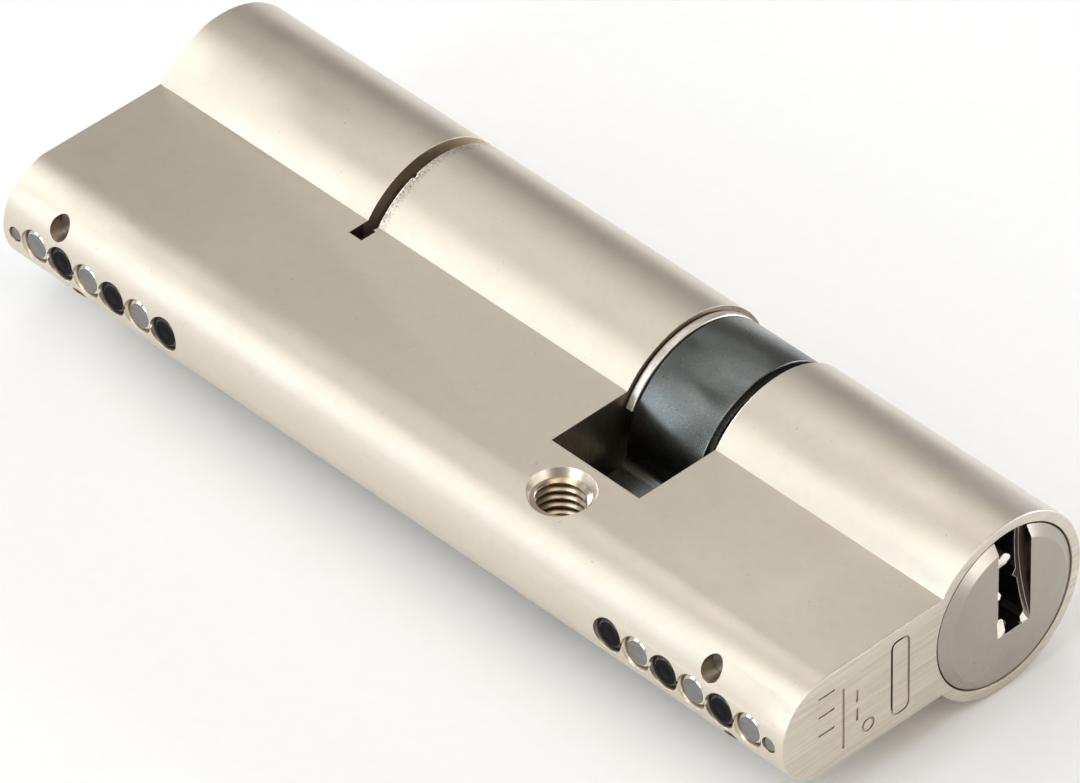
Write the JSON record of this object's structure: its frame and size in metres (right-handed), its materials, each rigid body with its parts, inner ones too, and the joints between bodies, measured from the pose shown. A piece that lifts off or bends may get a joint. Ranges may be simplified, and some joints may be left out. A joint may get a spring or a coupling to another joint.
{
  "type": "euro cylinder",
  "caption": "Double euro profile lock cylinder with a short and a long side, keyed plugs, sprung pins, a central cam with a clutch and a fixing-screw hole.",
  "frame": {"origin": "middle of the fixing screw's threaded hole, halfway through the web", "axes": "+X along the plug axis towards the short side's keyed face, +Y from the leg to the barrel, +Z out of the web's upper flat, along the fixing screw's hole"},
  "size_m": [0.0916, 0.033, 0.017],
  "materials": {
    "satin_nickel": "satin nickel plate on machined brass",
    "plug_nickel": "satin nickel plate, turned face",
    "black_steel": "blackened sintered steel, satin",
    "hard_steel": "ground hardened steel",
    "spring_steel": "bright spring steel",
    "pin_brass": "turned nickel silver",
    "black_cap": "black oxide, polished"
  },
  "bodies": {
    "housing": {"housing": "satin_nickel", "near_springs": "spring_steel", "far_springs": "spring_steel", "steel_caps": "hard_steel", "black_caps": "black_cap", "front_pins": "hard_steel", "side_pins": "hard_steel"},
    "near_plug": {"near_plug": "plug_nickel", "near_ring": "spring_steel"},
    "far_plug": {"far_plug": "plug_nickel", "extension": "satin_nickel", "far_ring": "black_steel", "extension_ring": "spring_steel"},
    "cam": {"cam": "black_steel", "clutch_spring": "spring_steel"},
    "near_dog": {"near_dog": "hard_steel"},
    "far_dog": {"far_dog": "hard_steel", "push_rod": "hard_steel"},
    "near_key_pin_1": {"near_key_pin_1": "pin_brass"},
    "near_key_pin_2": {"near_key_pin_2": "pin_brass"},
    "near_key_pin_3": {"near_key_pin_3": "pin_brass"},
    "near_key_pin_4": {"near_key_pin_4": "pin_brass"},
    "near_key_pin_5": {"near_key_pin_5": "pin_brass"},
    "near_key_pin_6": {"near_key_pin_6": "pin_brass"},
    "far_key_pin_1": {"far_key_pin_1": "pin_brass"},
    "far_key_pin_2": {"far_key_pin_2": "pin_brass"},
    "far_key_pin_3": {"far_key_pin_3": "pin_brass"},
    "far_key_pin_4": {"far_key_pin_4": "pin_brass"},
    "far_key_pin_5": {"far_key_pin_5": "pin_brass"},
    "far_key_pin_6": {"far_key_pin_6": "pin_brass"},
    "near_driver_1": {"near_driver_1": "hard_steel"},
    "near_driver_2": {"near_driver_2": "hard_steel"},
    "near_driver_3": {"near_driver_3": "hard_steel"},
    "near_driver_4": {"near_driver_4": "hard_steel"},
    "near_driver_5": {"near_driver_5": "hard_steel"},
    "near_driver_6": {"near_driver_6": "hard_steel"},
    "far_driver_1": {"far_driver_1": "hard_steel"},
    "far_driver_2": {"far_driver_2": "hard_steel"},
    "far_driver_3": {"far_driver_3": "hard_steel"},
    "far_driver_4": {"far_driver_4": "hard_steel"},
    "far_driver_5": {"far_driver_5": "hard_steel"},
    "far_driver_6": {"far_driver_6": "hard_steel"}
  },
  "joints": [
    {"name": "near_plug_turn", "type": "hinge", "parent": "housing", "child": "near_plug", "pos_m": [0.018, 0.019, 0], "axis": [1, 0, 0], "continuous": true},
    {"name": "far_plug_turn", "type": "hinge", "parent": "housing", "child": "far_plug", "pos_m": [-0.04, 0.019, 0], "axis": [1, 0, 0], "continuous": true},
    {"name": "cam_turn", "type": "hinge", "parent": "housing", "child": "cam", "pos_m": [0, 0.019, 0], "axis": [1, 0, 0], "continuous": true},
    {"name": "near_dog_slide", "type": "slide", "parent": "near_plug", "child": "near_dog", "axis": [1, 0, 0], "range_m": [-0.0013, 0], "stiffness_N_per_m": 150, "springref_m": 0.002, "deforming": ["clutch_spring"]},
    {"name": "far_dog_slide", "type": "slide", "parent": "far_plug", "child": "far_dog", "axis": [1, 0, 0], "range_m": [0, 0.0013], "stiffness_N_per_m": 150, "springref_m": -0.002, "deforming": ["clutch_spring"]},
    {"name": "near_key_pin_1_slide", "type": "slide", "parent": "near_plug", "child": "near_key_pin_1", "axis": [0, 1, 0], "range_m": [0, 0.0008]},
    {"name": "near_key_pin_2_slide", "type": "slide", "parent": "near_plug", "child": "near_key_pin_2", "axis": [0, 1, 0], "range_m": [0, 0.0008]},
    {"name": "near_key_pin_3_slide", "type": "slide", "parent": "near_plug", "child": "near_key_pin_3", "axis": [0, 1, 0], "range_m": [0, 0.0008]},
    {"name": "near_key_pin_4_slide", "type": "slide", "parent": "near_plug", "child": "near_key_pin_4", "axis": [0, 1, 0], "range_m": [0, 0.0008]},
    {"name": "near_key_pin_5_slide", "type": "slide", "parent": "near_plug", "child": "near_key_pin_5", "axis": [0, 1, 0], "range_m": [0, 0.0008]},
    {"name": "near_key_pin_6_slide", "type": "slide", "parent": "near_plug", "child": "near_key_pin_6", "axis": [0, 1, 0], "range_m": [0, 0.0008]},
    {"name": "far_key_pin_1_slide", "type": "slide", "parent": "far_plug", "child": "far_key_pin_1", "axis": [0, 1, 0], "range_m": [0, 0.0008]},
    {"name": "far_key_pin_2_slide", "type": "slide", "parent": "far_plug", "child": "far_key_pin_2", "axis": [0, 1, 0], "range_m": [0, 0.0008]},
    {"name": "far_key_pin_3_slide", "type": "slide", "parent": "far_plug", "child": "far_key_pin_3", "axis": [0, 1, 0], "range_m": [0, 0.0008]},
    {"name": "far_key_pin_4_slide", "type": "slide", "parent": "far_plug", "child": "far_key_pin_4", "axis": [0, 1, 0], "range_m": [0, 0.0008]},
    {"name": "far_key_pin_5_slide", "type": "slide", "parent": "far_plug", "child": "far_key_pin_5", "axis": [0, 1, 0], "range_m": [0, 0.0008]},
    {"name": "far_key_pin_6_slide", "type": "slide", "parent": "far_plug", "child": "far_key_pin_6", "axis": [0, 1, 0], "range_m": [0, 0.0008]},
    {"name": "near_driver_1_slide", "type": "slide", "parent": "housing", "child": "near_driver_1", "axis": [0, 1, 0], "range_m": [-0.0016, 0], "stiffness_N_per_m": 100, "springref_m": 0.002, "deforming": ["near_springs"]},
    {"name": "near_driver_2_slide", "type": "slide", "parent": "housing", "child": "near_driver_2", "axis": [0, 1, 0], "range_m": [-0.0016, 0], "stiffness_N_per_m": 100, "springref_m": 0.002, "deforming": ["near_springs"]},
    {"name": "near_driver_3_slide", "type": "slide", "parent": "housing", "child": "near_driver_3", "axis": [0, 1, 0], "range_m": [-0.0016, 0], "stiffness_N_per_m": 100, "springref_m": 0.002, "deforming": ["near_springs"]},
    {"name": "near_driver_4_slide", "type": "slide", "parent": "housing", "child": "near_driver_4", "axis": [0, 1, 0], "range_m": [-0.0016, 0], "stiffness_N_per_m": 100, "springref_m": 0.002, "deforming": ["near_springs"]},
    {"name": "near_driver_5_slide", "type": "slide", "parent": "housing", "child": "near_driver_5", "axis": [0, 1, 0], "range_m": [-0.0016, 0], "stiffness_N_per_m": 100, "springref_m": 0.002, "deforming": ["near_springs"]},
    {"name": "near_driver_6_slide", "type": "slide", "parent": "housing", "child": "near_driver_6", "axis": [0, 1, 0], "range_m": [-0.0016, 0], "stiffness_N_per_m": 100, "springref_m": 0.002, "deforming": ["near_springs"]},
    {"name": "far_driver_1_slide", "type": "slide", "parent": "housing", "child": "far_driver_1", "axis": [0, 1, 0], "range_m": [-0.0016, 0], "stiffness_N_per_m": 100, "springref_m": 0.002, "deforming": ["far_springs"]},
    {"name": "far_driver_2_slide", "type": "slide", "parent": "housing", "child": "far_driver_2", "axis": [0, 1, 0], "range_m": [-0.0016, 0], "stiffness_N_per_m": 100, "springref_m": 0.002, "deforming": ["far_springs"]},
    {"name": "far_driver_3_slide", "type": "slide", "parent": "housing", "child": "far_driver_3", "axis": [0, 1, 0], "range_m": [-0.0016, 0], "stiffness_N_per_m": 100, "springref_m": 0.002, "deforming": ["far_springs"]},
    {"name": "far_driver_4_slide", "type": "slide", "parent": "housing", "child": "far_driver_4", "axis": [0, 1, 0], "range_m": [-0.0016, 0], "stiffness_N_per_m": 100, "springref_m": 0.002, "deforming": ["far_springs"]},
    {"name": "far_driver_5_slide", "type": "slide", "parent": "housing", "child": "far_driver_5", "axis": [0, 1, 0], "range_m": [-0.0016, 0], "stiffness_N_per_m": 100, "springref_m": 0.002, "deforming": ["far_springs"]},
    {"name": "far_driver_6_slide", "type": "slide", "parent": "housing", "child": "far_driver_6", "axis": [0, 1, 0], "range_m": [-0.0016, 0], "stiffness_N_per_m": 100, "springref_m": 0.002, "deforming": ["far_springs"]}
  ]
}
